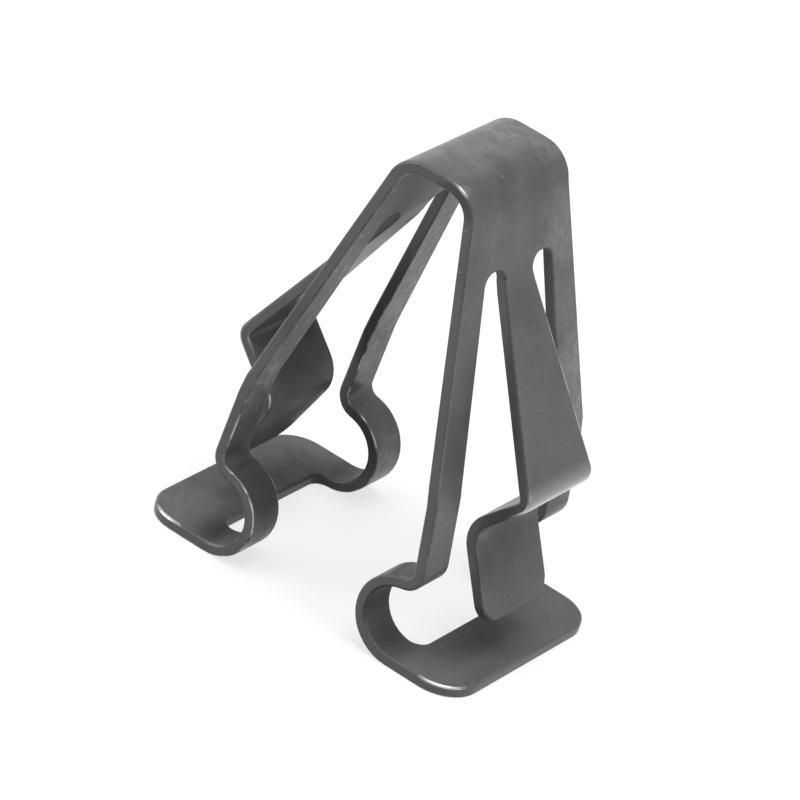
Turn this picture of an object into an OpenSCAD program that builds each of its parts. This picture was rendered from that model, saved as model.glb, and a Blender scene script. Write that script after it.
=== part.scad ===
// Spring-steel trim clip, folded from one strip.
// A narrow crown carries two sloping sides. Each side is slotted into two legs with a tongue between them.
// The legs turn in at a knee, curl back out in a hook and end in one flat foot, on which the clip stands.
// The tongue leans out, turns back in at its catch and ends in a flap that points down and out.
// X runs across the two sides, Y along the crown. The origin is on the ground, midway between the feet.

/* [Sheet] */
// Thickness of the strip
sheet_t = 0.6; // [0.4:0.05:0.8]

/* [Crown] */
// Width of the flat top, between its two bends
crown_flat = 1.55; // [1.2:0.05:4]
// Length of the crown, front to back
crown_depth = 8; // [7:0.1:10]
// Inside radius of the two crown bends
crown_bend = 1.25; // [0.6:0.05:1.6]

/* [Sides] */
// Lean of each side from upright, in degrees
side_slope = 15; // [10:0.5:20]
// Flat length of each side, from the crown bend to the shoulder bend
side_length = 12.9; // [11.5:0.1:17]
// Inside radius of the shoulder bend
shoulder_bend = 5.8; // [2:0.2:8]
// Lean of the legs below the shoulder, in degrees
leg_slope = 6; // [2:0.5:9]
// Flat length of the legs, from the shoulder bend to the knee
leg_length = 3.6; // [2:0.1:5]
// Width over both legs, from the shoulder down
leg_span = 12.3; // [11.5:0.1:16]
// Width of each leg beside the tops of the slots
leg_top_w = 1.7; // [1.2:0.05:2]
// Width of each leg from the shoulder down
leg_w = 2.1; // [1.4:0.1:2.6]

/* [Slots] */
// Distance of the slot tops below the crown bend
slot_drop = 3; // [2:0.1:4]
// Radius of the corners at the slot tops
slot_corner = 0.7; // [0.3:0.05:0.8]

/* [Hooks] */
// Inside radius of the knee
knee_bend = 0.6; // [0.4:0.05:1.2]
// Fall of the hooks behind the knee, in degrees below level
hook_slope = 11; // [5:1:30]
// Flat length of the hooks between knee and curl
hook_length = 0.15; // [0.05:0.05:1]
// Inside radius of the curl
curl_bend = 1.85; // [1.4:0.05:2.1]

/* [Feet] */
// Flat length of each foot, from the curl to its outer edge
foot_length = 4.1; // [3.4:0.05:6]
// Radius of the outer corners of the feet
foot_corner = 1.95; // [0.5:0.05:2.5]
// Distance from the curl to the inner edge of the foot between the hooks
notch_depth = 0.55; // [0.3:0.05:1]
// Radius of the two corners of that notch
notch_corner = 0.7; // [0.3:0.1:1.2]

/* [Tongues] */
// Width of the tongue at its root
tongue_top_w = 2.3; // [1.8:0.05:2.6]
// Width of the tongue from the catch down
tongue_w = 5.3; // [4:0.1:6.5]
// Inside radius of the bend at the root of the tongue
root_bend = 3.9; // [1:0.1:6]
// Lean of the tongue from upright, in degrees
tongue_slope = 31; // [24:0.5:34]
// Flat length of the tongue, from its root bend to the catch
tongue_length = 9.7; // [8:0.05:11]
// Inside radius of the catch bend
catch_bend = 0.3; // [0.2:0.05:0.6]
// Lean of the tongue below the catch, back towards the legs, in degrees
catch_slope = 44; // [30:1:50]
// Flat length below the catch
catch_length = 2.3; // [2:0.05:3.2]
// Inside radius of the bend above the flap
flap_bend = 1.2; // [0.5:0.1:1.5]
// Outward lean of the flap, in degrees
flap_slope = 26; // [10:1:35]
// Flat length of the flap
flap_length = 3.95; // [2.5:0.05:4.4]
// Radius of the two corners of the flap
flap_corner = 1.1; // [0.5:0.1:1.8]

/* [Hidden] */

// Round stretches are drawn in steps of about this many degrees
arc_step = 9;
// Cutting outlines run this far past the sheet
past = 3;

// A folded strip is a list of steps.
// Each step is a flat length, the turn of the bend that follows, left positive, and its inside radius.
// Legs and tongue share the stretch beside the slot tops, so that their faces are one plane there.
root_lap = sheet_t * sin(side_slope);
top_steps = [
    [crown_flat / 2, side_slope - 90, crown_bend],
    [slot_drop - root_lap, 0, 0],
];
leg_steps = concat(top_steps, [
    [2 * root_lap, 0, 0],
    [side_length - slot_drop - root_lap, leg_slope - side_slope, shoulder_bend],
    [leg_length, hook_slope - leg_slope - 90, knee_bend],
    [hook_length, 180 - hook_slope, curl_bend],
    [foot_length + past, 0, 0],
]);
tongue_steps = [
    [2 * root_lap, tongue_slope - side_slope, root_bend],
    [tongue_length, -tongue_slope - catch_slope, catch_bend],
    [catch_length, catch_slope + flap_slope, flap_bend],
    [flap_length + past, 0, 0],
];

// A station on the middle line of a strip is its x, its z and the heading there
function place(station) = [station[0], station[1]];
function heading(station) = station[2];
function normal(angle) = [-sin(angle), cos(angle)];
function after_flat(station, length) =
    concat(place(station) + length * [cos(heading(station)), sin(heading(station))], heading(station));
function bend_centre(station, turn, radius) = place(station) + sign(turn) * radius * normal(heading(station));
function after_bend(station, turn, radius) =
    let (out = heading(station) + turn)
    concat(bend_centre(station, turn, radius) - sign(turn) * radius * normal(out), out);
function middle_radius(step) = step[2] + sheet_t / 2;
function after_steps(station, steps, count) =
    count == 0 ? station :
    let (step = steps[count - 1], bend_start = after_flat(after_steps(station, steps, count - 1), step[0]))
    after_bend(bend_start, step[1], middle_radius(step));

// Points of one face of a strip, which lies a distance to the left of the middle line
function bend_points(station, turn, radius, side) =
    let (count = ceil(abs(turn) / arc_step), centre = bend_centre(station, turn, radius))
    [for (i = [0:count])
        let (part = count == 0 ? 0 : i / count)
        centre + (side - sign(turn) * radius) * normal(heading(station) + turn * part)];
function face_points(start, steps, side) =
    [for (i = [0:len(steps) - 1])
        let (bend_start = after_flat(after_steps(start, steps, i), steps[i][0]))
        each bend_points(bend_start, steps[i][1], middle_radius(steps[i]), side)];

// Points along an arc
function arc_points(centre, radius, from, to) =
    let (count = ceil(abs(to - from) / arc_step))
    [for (i = [0:count])
        let (angle = from + (to - from) * i / count)
        centre + radius * [cos(angle), sin(angle)]];
function reversed(points) = [for (i = [len(points) - 1:-1:0]) points[i]];
function flipped(points) = [for (i = [len(points) - 1:-1:0]) [-points[i].x, points[i].y]];
// An outline that is the same on both sides of its second axis, from the points of one side
function both_sides(points) = concat(points, flipped(points));

// The feet lie on the ground, which sets the height of the crown
level_foot = after_steps([0, 0, 0], leg_steps, len(leg_steps));
crown_z = sheet_t / 2 - level_foot[1];
crown_top = [0, crown_z, 0];
side_top = after_steps(crown_top, leg_steps, 1);
tongue_start = after_steps(crown_top, leg_steps, 2);
shoulder = after_flat(side_top, side_length);
curl_end = after_steps(crown_top, leg_steps, 6);
catch_start = after_flat(after_steps(tongue_start, tongue_steps, 1), tongue_length);
flap_start = after_steps(tongue_start, tongue_steps, 3);

// Heights of the outlines
flare_top = side_top[1];
slot_z = after_flat(side_top, slot_drop)[1];
slot_corner_z = slot_z - slot_corner;
shoulder_z = shoulder[1];
catch_z = catch_start[1];
window_floor = 2 * sheet_t;
hook_gap_top = 3 * sheet_t;
far = crown_z + past;

// Half widths of the outlines
foot_x = curl_end[0] + foot_length;
notch_x = curl_end[0] + notch_depth;
crown_half = crown_depth / 2;
span_half = leg_span / 2;
leg_flare = (span_half - crown_half) / (flare_top - shoulder_z);
slot_half = crown_half + leg_flare * (flare_top - slot_z) - leg_top_w;
window_half = span_half - leg_w;
root_half = tongue_top_w / 2;
tongue_half = tongue_w / 2;
tongue_flare = (tongue_half - root_half) / (slot_corner_z - catch_z);

// A section in the XZ plane, drawn out along Y
module drawn_along_y(depth) {
    rotate([90, 0, 0]) linear_extrude(height = depth, center = true) children();
}

// An outline in the YZ plane, drawn out along X both ways
module drawn_along_x() {
    rotate([90, 0, 90]) linear_extrude(height = 2 * far, center = true) children();
}

// A plan in the XY plane, drawn up from below the ground
module drawn_up_to(top) {
    translate([0, 0, -past]) linear_extrude(height = top + past) children();
}

// A rectangle about the origin with rounded corners
module rounded_plan(half_x, half_y, radius) {
    polygon(both_sides(concat(
        arc_points([half_x - radius, radius - half_y], radius, -90, 0),
        arc_points([half_x - radius, half_y - radius], radius, 0, 90)
    )));
}

// Section of crown, sides, legs, hooks and feet
module leg_section() {
    outer = face_points(crown_top, leg_steps, sheet_t / 2);
    inner = face_points(crown_top, leg_steps, -sheet_t / 2);
    polygon(concat(outer, reversed(inner), flipped(reversed(inner)), flipped(outer)));
}

// Outline of crown and sides seen along X: the sides flare from the crown down
module side_outline() {
    polygon(both_sides([
        [crown_half + leg_flare * (flare_top + past), -past],
        [crown_half, flare_top],
        [crown_half, far],
    ]));
}

// Outline of the window between the legs, seen along X
// Its rounded top corners are the outer corners of the slots
module window_outline() {
    polygon(both_sides(concat(
        [[window_half, window_floor], [window_half, shoulder_z]],
        arc_points([slot_half - slot_corner, slot_corner_z], slot_corner, 0, 90)
    )));
}

// Crown, sides, legs, hooks and feet
module legs() {
    difference() {
        intersection() {
            drawn_along_y(leg_span + past) leg_section();
            drawn_along_x() side_outline();
            drawn_up_to(far) rounded_plan(foot_x, span_half, foot_corner);
        }
        drawn_along_x() window_outline();
        drawn_up_to(hook_gap_top) rounded_plan(notch_x, window_half, notch_corner);
    }
}

// Section of a tongue, from just above the slot tops down
module tongue_section() {
    half = sheet_t / 2 * normal(heading(tongue_start));
    outer = concat([place(tongue_start) + half], face_points(tongue_start, tongue_steps, sheet_t / 2));
    inner = concat([place(tongue_start) - half], face_points(tongue_start, tongue_steps, -sheet_t / 2));
    polygon(concat(outer, reversed(inner)));
}

// Outline of a tongue seen along X: rounded into the slot tops, then flaring down past the catch
module tongue_outline() {
    polygon(both_sides(concat(
        [[root_half + tongue_flare * (slot_corner_z + past), -past]],
        arc_points([root_half + slot_corner, slot_corner_z], slot_corner, 180, 90),
        [[root_half + slot_corner, slot_z + past]]
    )));
}

// Outline of the lower tongue, square to its flap, with the two rounded corners of the end
module flap_outline() {
    polygon(both_sides(concat(
        [[tongue_half, -far]],
        arc_points([tongue_half - flap_corner, flap_length - flap_corner], flap_corner, 0, 90)
    )));
}

// The tongue of the +X side
module tongue() {
    intersection() {
        drawn_along_y(tongue_w + past) tongue_section();
        drawn_along_x() tongue_outline();
        translate([flap_start[0], 0, flap_start[1]])
            rotate([0, -heading(flap_start), 0])
                rotate([0, 0, -90])
                    linear_extrude(height = 2 * far, center = true)
                        flap_outline();
    }
}

module clip() {
    color("dimgray") {
        legs();
        tongue();
        mirror([1, 0, 0]) tongue();
    }
}

clip();
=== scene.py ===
"""Looks of the folded spring-steel clip: rounded sheet edges, dark coated steel and a white studio."""

import math

import bmesh
import bpy
from mathutils import Matrix, Vector


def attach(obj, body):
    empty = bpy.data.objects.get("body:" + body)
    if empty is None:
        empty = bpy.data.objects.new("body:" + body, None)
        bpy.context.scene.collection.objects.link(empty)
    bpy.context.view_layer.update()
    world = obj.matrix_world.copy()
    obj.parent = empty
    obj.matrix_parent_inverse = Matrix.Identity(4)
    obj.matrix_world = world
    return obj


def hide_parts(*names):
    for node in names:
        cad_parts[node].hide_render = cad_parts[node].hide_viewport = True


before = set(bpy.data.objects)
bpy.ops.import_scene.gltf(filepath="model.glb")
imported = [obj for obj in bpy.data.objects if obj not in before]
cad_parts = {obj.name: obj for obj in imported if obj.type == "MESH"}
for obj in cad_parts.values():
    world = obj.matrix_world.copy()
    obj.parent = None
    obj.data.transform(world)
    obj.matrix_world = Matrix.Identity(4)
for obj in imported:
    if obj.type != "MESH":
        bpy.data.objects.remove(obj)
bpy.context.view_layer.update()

MM = 0.001

# Camera, fitted to the photograph. Lengths are in millimetres and angles in degrees.
VIEW_AZIMUTH = 28.353
VIEW_ELEVATION = 29.723
VIEW_ROLL = 16.08
VIEW_DISTANCE = 285.711
VIEW_TARGET_Z = 12.48
IMAGE_SIZE = 800
PIXELS_PER_MM = 20.8333
TARGET_PIXEL = (427.832, 355.037)
SENSOR_WIDTH = 36.0
# Nearest and furthest distance that the camera sees, in metres
CLIP_DISTANCES = (0.01, 20)

# Soft boxes round the clip: width in millimetres, then name, place in millimetres and power in watts
LAMP_SIZE = 260
LAMPS = (
    ("lamp_top", (0, 0, 400), 1.42),
    ("lamp_right_high", (229, 0, 328), 0.27),
    ("lamp_right", (396, 0, 56), 1.15),
    ("lamp_front_left", (-300, -252, 83), 1.2),
    ("lamp_front_left_high", (-203, -241, 246), 0.15),
    ("lamp_back_right", (343, 198, 56), 0.1),
)
# The floor reaches this far from the middle, in metres.
# Its glow makes it white to the camera and lights nothing.
FLOOR_REACH = 3.0
FLOOR_GREY = 0.3
FLOOR_GLOW = 0.72
FLOOR_ROUGHNESS = 0.9
FLOOR_SPECULAR = 0.1

# Sheet edges: the punch rounds the edges of the outer face and leaves a crisp burr on the inner face
MERGE_DISTANCE = 0.001 * MM
FLAT_ANGLE = math.radians(0.6)
SHARP_ANGLE = math.radians(40)
OUTER_ROUNDING = 0.14 * MM
INNER_ROUNDING = 0.08 * MM
ROUNDING_SEGMENTS = 4
# Section of the rounding, where 0.5 is a circle, and how far the larger faces lead the smooth shading
ROUNDING_PROFILE = 0.5
NORMAL_WEIGHT = 100
# Kinds of face, and how easily the coating rubs off the two kinds of rounded edge
CUT, OUTER, INNER, SOFT, CRISP = range(5)
EDGE_WEAR = {SOFT: 0.2, CRISP: 1.0}

# Colours of the steel: dark and light patches of the cool and the warm coating,
# then the coating where it is scuffed or where light is painted, sheared at a cut edge, or in painted
# shade, and the uncoated steel, worn through or painted as a glint or highlight
COOL_COAT = ((0.0675, 0.072, 0.0735), (0.096, 0.101, 0.102))
WARM_COAT = ((0.0725, 0.072, 0.0715), (0.1, 0.0995, 0.098))
SCUFFED_AND_LIT_COAT = (0.22, 0.215, 0.205, 1)
CUT_COAT = (0.13, 0.13, 0.134, 1)
SHADE_COAT = (0.032, 0.033, 0.033, 1)
BARE_STEEL_AND_GLINT = (0.56, 0.55, 0.535, 1)
# Shares: how far a cut edge takes its colour, how metallic the uncoated steel is,
# and how far the folds of the catches are worn through and painted as a highlight, and how much smoother
# they are
CUT_SHARE = 0.42
BARE_METALLIC = 0.8
CATCH_BARE_AND_HIGHLIGHT = 0.88
CATCH_POLISH = 0.4
# Power with which the wear and painted highlight of those folds fades beside them
CATCH_FADE = 2.0
# Roughness of the dark and light patches, and what a place of painted shade adds to it
SATIN = (0.27, 0.38)
SHADE_ROUGHNESS = 0.3
# Bump of the grain, with its depth in millimetres, and the level of the reflections
GRAIN_STRENGTH = 0.2
GRAIN_DEPTH = 0.012
SPECULAR_LEVEL = 0.25

# Noise patterns: features in a millimetre, levels of detail and roughness,
# and for the scratches a stretch along the axes
PATCHES = (0.3, 4, 0.5)
TINTS = (0.17, 2, 0.5)
GRAIN = (6.0, 3, 0.6)
SCRATCHES = (2.0, 3, 0.55, (1, 1, 0.8))
WEAR = (1.1, 5, 0.65)
SPECKS = (2.6, 2, 0.5)
BORDERS = (0.9, 4, 0.6)
# The dark and the light patches lie at these levels of their pattern
PATCH_LEVELS = (0.3, 0.7)
# Ramps over the other patterns: two levels of the pattern, each with the value there
TINT_RAMP = ((0.42, 0.0), (0.62, 1.0))
TONE_RAMP = ((0.35, 0.9), (0.65, 1.1))
LEG_SCUFF_RAMP = ((0.5, 0.0), (0.62, 0.75))
BLOTCH_RAMP = ((0.38, 0.4), (0.6, 0.9))
WEAR_RAMP = ((0.44, 0.0), (0.6, 1.0))
SPECK_RAMP = ((0.75, 0.0), (0.82, 0.4))
BORDER_RAMP = ((0.3, 0.6), (0.7, 1.4))

# Folds across the whole width, on both halves of the clip: the catches, worn and painted with a highlight,
# and the curl's hollow, painted in shade: x and z of the middle line, and the distances from it
# at which the change starts and is complete, in millimetres
CATCH_FOLD = (8.8, 9.3, 1.5, 0.2)
CURL_HOLLOW_SHADE = (5.7, 2.65, 2.2, 1.85)
# The legs lie in front of and behind these distances from the middle,
# and they are scuffed inside above these heights, in millimetres
LEGS_FROM = (2.9, 3.4)
SCUFFS_ABOVE = (6.0, 7.5)
# Edge wear across the clip and down the legs: two places in millimetres, and its share at each
WEAR_ALONG_X = (2.0, -2.0, 0.35, 1.0)
WEAR_ALONG_Z = (12.0, 8.0, 0.15, 0.75)

# A single place is at its strongest within this share of its radius
SPOT_CORE = 0.3
# Single places on the outer face, the inner face, the cut edges or the rounded edges of the sheet:
# x, y, z and radius in millimetres, and how strong the change is in the middle
# Painted light on the outer face: the crown top and left bend, the right side, the right back leg and the
# left foot, where light falls more; and one chip on the crown's front edge
LIT_AND_RUBBED_OUTSIDE = (
    (1.6, -3.7, 23.8, 0.35, 0.9),
    (-0.7, -0.3, 24.0, 3.4, 0.55),
    (-1.6, -2.4, 23.8, 1.7, 0.7),
    (-1.0, 2.6, 24.0, 2.8, 0.8),
    (2.8, -2.4, 21.7, 1.8, 0.3),
    (3.0, -0.2, 20.5, 2.4, 0.15),
    (3.1, 3.8, 20.3, 2.6, 0.7),
    (4.2, 4.6, 16.5, 2.4, 0.45),
    (5.0, 5.1, 13.5, 2.4, 0.9),
    (5.6, 5.5, 10.5, 2.4, 1.0),
    (5.8, 5.6, 7.5, 2.2, 0.8),
    (6.1, -6.0, 9.2, 2.2, 0.2),
    (-8.4, -4.2, 0.6, 2.2, 0.4),
)
# Painted highlights on the inner face: the left tongue's strip, the right hook's knee and the left back
# curl; and scuffed places inside the left back leg
LIT_AND_RUBBED_INSIDE = (
    (-5.5, 0.6, 14.6, 1.3, 1.0),
    (-4.6, 0.2, 16.2, 2.2, 0.8),
    (5.4, -6.0, 4.85, 0.35, 0.9),
    (-5.1, 4.6, 10.9, 1.1, 0.8),
    (-5.7, 4.6, 7.4, 1.1, 0.8),
    (-3.3, 4.7, 2.3, 1.6, 1.0),
)
# Painted glints on rounded edges: the feet's front corners, the right tongue's edge, the left flap and the
# crown; some also worn
GLINTS_AND_WORN_EDGES = (
    (1.5, -3.9, 23.8, 0.4, 0.6),
    (-1.4, 3.9, 23.8, 0.5, 0.8),
    (-6.4, -2.6, 7.2, 0.5, 0.9),
    (8.7, -5.7, 0.6, 1.3, 0.9),
    (-8.3, -5.9, 0.6, 1.0, 0.9),
    (8.4, 5.8, 0.6, 0.9, 0.8),
    (5.3, 1.6, 16.1, 1.1, 1.0),
    (6.5, 1.95, 14.1, 1.3, 1.0),
    (7.6, 2.25, 12.2, 1.2, 1.0),
    (-5.4, 5.1, 12.0, 1.2, 0.8),
)
# Painted shade on the outer face: the crown bend, the tongue, the flap under the catch and the feet beside
# the clip
SHADE_OUTSIDE = (
    (1.4, -0.3, 23.9, 1.5, 0.5),
    (2.0, -2.8, 23.2, 1.6, 0.3),
    (2.0, -1.2, 23.3, 1.6, 0.35),
    (2.1, 1.2, 23.2, 1.8, 0.3),
    (4.3, -0.4, 17.8, 2.2, 0.4),
    (6.8, -0.4, 6.5, 1.9, 0.55),
    (7.3, -2.2, 5.3, 1.5, 0.5),
    (7.2, -3.0, 0.6, 2.0, 0.4),
    (-6.6, 2.8, 0.6, 2.8, 0.75),
)
# Painted shade on the inner face of the left half, where the clip keeps the light off
SHADE_INSIDE = (
    (-2.4, -2.5, 20.8, 4.5, 0.35),
    (-4.1, -5.4, 14.4, 3.2, 0.35),
    (-5.7, -4.8, 6.8, 3.0, 0.8),
    (-4.2, -5.3, 4.2, 2.6, 0.8),
    (-6.5, -0.2, 7.6, 2.8, 0.5),
    (-6.6, 1.2, 5.6, 2.2, 0.9),
)
# Painted shade on cut edges in hollows and on the crown's front edge
SHADE_CUT = (
    (1.5, -4.0, 23.4, 1.5, 0.7),
    (-4.4, -5.8, 13.8, 2.4, 0.35),
    (-3.5, -1.3, 18.2, 1.6, 0.6),
    (-6.4, -2.65, 7.4, 1.6, 0.5),
    (-5.8, -4.05, 5.2, 1.6, 0.5),
    (-4.9, 4.05, 0.5, 1.8, 0.6),
)

# Layout of the node trees: nodes in a row, and the room for each across and down
NODES_IN_ROW = 10
NODE_ROOM = (200, 300)


def is_sharp(edge):
    return len(edge.link_faces) == 2 and edge.calc_face_angle() > SHARP_ANGLE


def smooth_patch(start):
    """The faces that join a face without crossing a sharp edge."""
    patch, front = {start}, [start]
    while front:
        for edge in front.pop().edges:
            if is_sharp(edge):
                continue
            for face in edge.link_faces:
                if face not in patch:
                    patch.add(face)
                    front.append(face)
    return patch


def round_edges(bm, kind, side, offset, made_kind):
    """Rounds the sharp edges round the outer or the inner face, and marks the new faces."""
    edges = [
        edge for edge in bm.edges
        if is_sharp(edge) and side in {face[kind] for face in edge.link_faces}
    ]
    made = bmesh.ops.bevel(
        bm, geom=edges, offset=offset, offset_type="OFFSET", segments=ROUNDING_SEGMENTS,
        profile=ROUNDING_PROFILE, affect="EDGES", clamp_overlap=False,
    )
    for face in made["faces"]:
        face[kind] = made_kind


def rounded_copy(node, name):
    """The CAD node's mesh with its flat faces joined and its edges rounded.

    The point attribute edge says how easily the coating rubs off there: 0 on the faces, 1 on crisp edges.
    The face attributes inside and cut are 1 on the inner face of the sheet and on its cut edges.
    """
    bm = bmesh.new()
    bm.from_mesh(node.data)
    bmesh.ops.remove_doubles(bm, verts=bm.verts, dist=MERGE_DISTANCE)
    bmesh.ops.dissolve_limit(bm, angle_limit=FLAT_ANGLE, verts=bm.verts, edges=bm.edges)
    kind = bm.faces.layers.int.new("kind")
    top = max(bm.faces, key=lambda face: face.calc_center_median().z + face.normal.z)
    under = max(bm.faces, key=lambda face: -face.calc_center_median().z - face.normal.z)
    for patch, side in ((smooth_patch(top), OUTER), (smooth_patch(under), INNER)):
        for face in patch:
            face[kind] = side
    round_edges(bm, kind, OUTER, OUTER_ROUNDING, SOFT)
    round_edges(bm, kind, INNER, INNER_ROUNDING, CRISP)
    edge = bm.verts.layers.float.new("edge")
    inside = bm.faces.layers.float.new("inside")
    cut = bm.faces.layers.float.new("cut")
    for vert in bm.verts:
        vert[edge] = min(EDGE_WEAR.get(face[kind], 0.0) for face in vert.link_faces)
    for face in bm.faces:
        face.smooth = True
        face[inside] = 1.0 if face[kind] == INNER else 0.0
        face[cut] = 1.0 if face[kind] == CUT else 0.0
    mesh = bpy.data.meshes.new(name)
    bm.to_mesh(mesh)
    bm.free()
    piece = bpy.data.objects.new(name, mesh)
    bpy.context.scene.collection.objects.link(piece)
    normals = piece.modifiers.new("face_normals", "WEIGHTED_NORMAL")
    normals.weight = NORMAL_WEIGHT
    normals.keep_sharp = True
    return piece


def put(tree, socket, value):
    """Links an output to the socket, or sets the socket to a plain value."""
    if isinstance(value, bpy.types.NodeSocket):
        tree.links.new(value, socket)
    else:
        socket.default_value = value


def add_node(tree, kind, **values):
    """A new node, laid out in rows, with its settings and its named inputs."""
    row, column = divmod(len(tree.nodes), NODES_IN_ROW)
    node = tree.nodes.new(kind)
    node.location = (NODE_ROOM[0] * column, -NODE_ROOM[1] * row)
    for key, value in values.items():
        if hasattr(node, key):
            setattr(node, key, value)
        else:
            put(tree, node.inputs[key.replace("_", " ")], value)
    return node


class NodeMaker:
    """Adds nodes to a material's tree and gives their outputs. Lengths are in millimetres."""

    def __init__(self, tree):
        self.tree = tree
        self.place = add_node(tree, "ShaderNodeTexCoord").outputs["Object"]
        self.mirrored = self.vectors("ABSOLUTE", self.place)
        self.section = self.vectors("MULTIPLY", self.mirrored, (1, 0, 1))
        self.ragged = self.shaped(self.noise(*BORDERS), *BORDER_RAMP)

    def vectors(self, operation, *inputs, output="Vector"):
        node = add_node(self.tree, "ShaderNodeVectorMath", operation=operation)
        for socket, value in zip(node.inputs, inputs):
            put(self.tree, socket, value)
        return node.outputs[output]

    def maths(self, operation, *inputs):
        node = add_node(self.tree, "ShaderNodeMath", operation=operation)
        for socket, value in zip(node.inputs, inputs):
            put(self.tree, socket, value)
        return node.outputs["Value"]

    def product(self, *factors):
        total = factors[0]
        for factor in factors[1:]:
            total = self.maths("MULTIPLY", total, factor)
        return total

    def greatest(self, *values):
        total = values[0]
        for value in values[1:]:
            total = self.maths("MAXIMUM", total, value)
        return total

    def attribute(self, name):
        return add_node(self.tree, "ShaderNodeAttribute", attribute_name=name).outputs["Fac"]

    def axis(self, vector, name):
        return add_node(self.tree, "ShaderNodeSeparateXYZ", Vector=vector).outputs[name]

    def noise(self, per_mm, detail, roughness, stretch=(1, 1, 1)):
        vector = self.vectors("MULTIPLY", self.place, stretch)
        node = add_node(
            self.tree, "ShaderNodeTexNoise",
            Vector=vector, Scale=per_mm / MM, Detail=detail, Roughness=roughness,
        )
        return node.outputs["Fac"]

    def shaped(self, value, start, end):
        """A colour ramp between two stops; a stop is its position and a colour or one grey value."""
        node = add_node(self.tree, "ShaderNodeValToRGB", Fac=value)
        for element, (position, colour) in zip(node.color_ramp.elements, (start, end)):
            grey = isinstance(colour, (int, float))
            element.position = position
            element.color = (colour, colour, colour, 1) if grey else (*colour, 1)
        return node.outputs["Color"]

    def mixed(self, factor, a, b, blend="MIX"):
        node = add_node(
            self.tree, "ShaderNodeMix", data_type="RGBA", blend_type=blend, Factor=factor, A=a, B=b,
        )
        return node.outputs["Result"]

    def ranged(self, length, start, end, low=0.0, high=1.0):
        """Goes from low to high while a length goes from start to end."""
        node = add_node(
            self.tree, "ShaderNodeMapRange",
            Value=length, From_Min=start * MM, From_Max=end * MM, To_Min=low, To_Max=high,
        )
        return node.outputs["Result"]

    def distance(self, vector, x, y, z):
        return self.vectors("DISTANCE", vector, (x * MM, y * MM, z * MM), output="Value")

    def spots(self, mask, places):
        """The strength of the single places, with ragged borders, on the faces of the mask."""
        total = 0.0
        for x, y, z, radius, strength in places:
            gap = self.product(self.distance(self.place, x, y, z), self.ragged)
            near = self.ranged(gap, radius, SPOT_CORE * radius, 0.0, strength)
            total = self.greatest(near, total)
        return self.product(mask, total)

    def along_fold(self, x, z, far, near):
        """1 near a line across the sheet on either half of the clip, and 0 from the far distance on."""
        return self.ranged(self.distance(self.section, x, 0, z), far, near)


def plain_coat(make, patches, grain):
    """The coating's own colour: cool and warm areas, darker and lighter patches, and a fine grain."""
    cool = make.shaped(patches, *zip(PATCH_LEVELS, COOL_COAT))
    warm = make.shaped(patches, *zip(PATCH_LEVELS, WARM_COAT))
    tint = make.shaped(make.noise(*TINTS), *TINT_RAMP)
    tone = make.shaped(grain, *TONE_RAMP)
    return make.mixed(1.0, make.mixed(tint, cool, warm), tone, "MULTIPLY")


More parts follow.
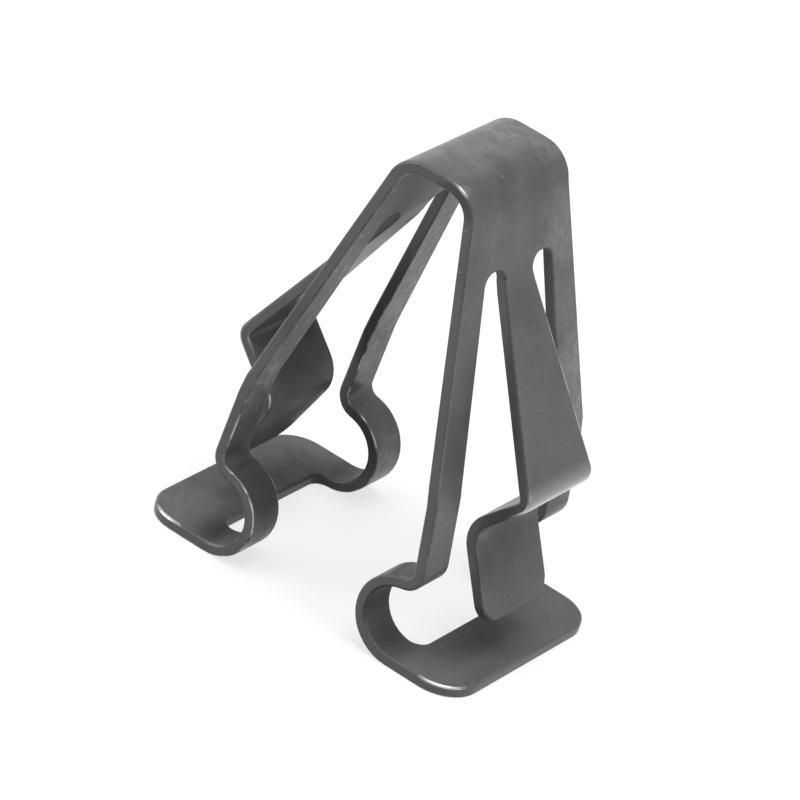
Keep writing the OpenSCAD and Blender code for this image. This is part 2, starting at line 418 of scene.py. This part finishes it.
def coated_steel():
    """Satin dark grey coating, scuffed inside the legs, with painted light and painted shade in single
    places.

    Worn edges and specks are uncoated steel, which also paints edge glints and the highlight of the
    catches' folds.
    """
    material = bpy.data.materials.new("coated_steel")
    material.use_nodes = True
    make = NodeMaker(material.node_tree)
    shader = make.tree.nodes["Principled BSDF"]
    patches = make.noise(*PATCHES)
    grain = make.noise(*GRAIN)
    scratches = make.noise(*SCRATCHES)
    wear = make.noise(*WEAR)
    edge, inside, cut = (make.attribute(name) for name in ("edge", "inside", "cut"))
    outside = make.maths("SUBTRACT", 1.0, make.greatest(inside, cut))
    height = make.axis(make.place, "Z")
    legs = make.ranged(make.axis(make.mirrored, "Y"), *LEGS_FROM)

    leg_scuffs = make.product(
        inside, legs, make.ranged(height, *SCUFFS_ABOVE), make.shaped(scratches, *LEG_SCUFF_RAMP),
    )
    # Painted light: lighter coating in single places where light falls or a highlight shows, with a few
    # real scuffed places
    painted_light_and_rubs = make.greatest(make.spots(outside, LIT_AND_RUBBED_OUTSIDE), make.spots(inside, LIT_AND_RUBBED_INSIDE))
    blotches = make.shaped(scratches, *BLOTCH_RAMP)
    scuffs_and_painted_light = make.greatest(leg_scuffs, make.product(painted_light_and_rubs, blotches))
    # Painted shade: darker, rougher coating where the clip shades itself and in the hollow of the curl
    painted_shade = make.greatest(
        make.spots(outside, SHADE_OUTSIDE), make.spots(inside, SHADE_INSIDE), make.spots(cut, SHADE_CUT),
        make.product(outside, make.along_fold(*CURL_HOLLOW_SHADE)),
    )
    # The folds of the catches: worn through, and painted as a highlight of the white floor along the fold
    catch_wear_and_highlight = make.product(CATCH_BARE_AND_HIGHLIGHT, outside, make.maths("POWER", make.along_fold(*CATCH_FOLD), CATCH_FADE))
    worn_edge = make.product(
        edge, legs, make.shaped(wear, *WEAR_RAMP),
        make.ranged(make.axis(make.place, "X"), *WEAR_ALONG_X), make.ranged(height, *WEAR_ALONG_Z),
    )
    any_edge = make.shaped(edge, (0.0, 0.0), (EDGE_WEAR[SOFT], 1.0))
    specks = make.shaped(make.noise(*SPECKS), *SPECK_RAMP)
    # Uncoated steel: worn edges and specks, painted glints on edges, and the painted highlight of the
    # catches' folds
    uncoated_and_glints = make.greatest(worn_edge, make.spots(any_edge, GLINTS_AND_WORN_EDGES), specks, catch_wear_and_highlight)

    colour = make.mixed(scuffs_and_painted_light, plain_coat(make, patches, grain), SCUFFED_AND_LIT_COAT)
    colour = make.mixed(make.product(cut, CUT_SHARE), colour, CUT_COAT)
    colour = make.mixed(painted_shade, colour, SHADE_COAT)
    put(make.tree, shader.inputs["Base Color"], make.mixed(uncoated_and_glints, colour, BARE_STEEL_AND_GLINT))
    put(make.tree, shader.inputs["Metallic"], make.product(uncoated_and_glints, BARE_METALLIC))
    satin = make.shaped(patches, *zip(PATCH_LEVELS, SATIN))
    polish = make.maths("SUBTRACT", 1.0, make.product(catch_wear_and_highlight, CATCH_POLISH))
    roughness = make.maths("ADD", make.product(satin, polish), make.product(painted_shade, SHADE_ROUGHNESS))
    put(make.tree, shader.inputs["Roughness"], roughness)
    bump = add_node(
        make.tree, "ShaderNodeBump", Strength=GRAIN_STRENGTH, Distance=GRAIN_DEPTH * MM, Height=grain,
    )
    put(make.tree, shader.inputs["Normal"], bump.outputs["Normal"])
    shader.inputs["Specular IOR Level"].default_value = SPECULAR_LEVEL
    return material


def seen_directly(tree):
    """1 for what the camera sees by itself, in a reflection or through glass.

    It is 0 for light that falls on a surface.
    """
    ray = add_node(tree, "ShaderNodeLightPath")
    total = ray.outputs["Is Camera Ray"]
    for kind in ("Is Glossy Ray", "Is Transmission Ray"):
        node = add_node(tree, "ShaderNodeMath", operation="MAXIMUM")
        put(tree, node.inputs[0], total)
        put(tree, node.inputs[1], ray.outputs[kind])
        total = node.outputs["Value"]
    return total


def white_floor():
    """A plain pale floor, wide enough to fill the picture, which keeps the clip's shadow."""
    reach = FLOOR_REACH
    mesh = bpy.data.meshes.new("floor")
    corners = [(-reach, -reach, 0), (reach, -reach, 0), (reach, reach, 0), (-reach, reach, 0)]
    mesh.from_pydata(corners, [], [(0, 1, 2, 3)])
    floor = bpy.data.objects.new("floor", mesh)
    bpy.context.scene.collection.objects.link(floor)
    material = bpy.data.materials.new("floor_white")
    material.use_nodes = True
    tree = material.node_tree
    shader = tree.nodes["Principled BSDF"]
    shader.inputs["Base Color"].default_value = (FLOOR_GREY, FLOOR_GREY, FLOOR_GREY, 1)
    shader.inputs["Roughness"].default_value = FLOOR_ROUGHNESS
    shader.inputs["Specular IOR Level"].default_value = FLOOR_SPECULAR
    shader.inputs["Emission Color"].default_value = (1, 1, 1, 1)
    glow = add_node(tree, "ShaderNodeMath", operation="MULTIPLY")
    put(tree, glow.inputs[0], seen_directly(tree))
    put(tree, glow.inputs[1], FLOOR_GLOW)
    put(tree, shader.inputs["Emission Strength"], glow.outputs["Value"])
    mesh.materials.append(material)


def white_world():
    """Plain white where the camera looks past the floor, which lights nothing."""
    world = bpy.data.worlds.new("studio")
    bpy.context.scene.world = world
    world.use_nodes = True
    tree = world.node_tree
    background = tree.nodes["Background"]
    background.inputs["Color"].default_value = (1, 1, 1, 1)
    put(tree, background.inputs["Strength"], seen_directly(tree))


def soft_lamp(name, place_mm, watts):
    """A square soft box that faces the middle of the clip."""
    data = bpy.data.lights.new(name, "AREA")
    data.shape = "SQUARE"
    data.size = LAMP_SIZE * MM
    data.energy = watts
    lamp = bpy.data.objects.new(name, data)
    place = Vector(place_mm) * MM
    aim = Vector((0, 0, VIEW_TARGET_Z * MM))
    lamp.rotation_mode = "QUATERNION"
    lamp.rotation_quaternion = (aim - place).to_track_quat("-Z", "Y")
    lamp.location = place
    bpy.context.scene.collection.objects.link(lamp)


def photo_camera():
    """The camera that looks at the clip as the photograph does, rolled and a little off centre."""
    angles = (VIEW_AZIMUTH, VIEW_ELEVATION, VIEW_ROLL)
    azimuth, elevation, roll = (math.radians(angle) for angle in angles)
    back = Vector((
        math.sin(azimuth) * math.cos(elevation),
        -math.cos(azimuth) * math.cos(elevation),
        math.sin(elevation),
    ))
    level = Vector((math.cos(azimuth), math.sin(azimuth), 0))
    above = back.cross(level)
    right = math.cos(roll) * level + math.sin(roll) * above
    up = math.cos(roll) * above - math.sin(roll) * level
    focal = VIEW_DISTANCE * PIXELS_PER_MM
    off_x = (TARGET_PIXEL[0] - IMAGE_SIZE / 2) / focal
    off_y = (IMAGE_SIZE / 2 - TARGET_PIXEL[1]) / focal
    axis = (-back - off_x * right - off_y * up).normalized()
    right = (right - axis * right.dot(axis)).normalized()
    up = right.cross(axis)
    pixels = focal * math.sqrt(1 + off_x ** 2 + off_y ** 2)
    data = bpy.data.cameras.new("camera")
    data.sensor_width = SENSOR_WIDTH
    data.lens = SENSOR_WIDTH * pixels / IMAGE_SIZE
    data.clip_start, data.clip_end = CLIP_DISTANCES
    camera = bpy.data.objects.new("camera", data)
    place = Vector((0, 0, VIEW_TARGET_Z * MM)) + back * VIEW_DISTANCE * MM
    turn = Matrix((right, up, -axis)).transposed().to_4x4()
    camera.matrix_world = Matrix.Translation(place) @ turn
    bpy.context.scene.collection.objects.link(camera)
    bpy.context.scene.camera = camera


clip = rounded_copy(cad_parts["clip"], "clip_sheet")
clip.data.materials.append(coated_steel())
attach(clip, "root")
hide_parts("clip")

white_floor()
white_world()
for lamp in LAMPS:
    soft_lamp(*lamp)
photo_camera()
bpy.context.scene.view_settings.view_transform = "Standard"
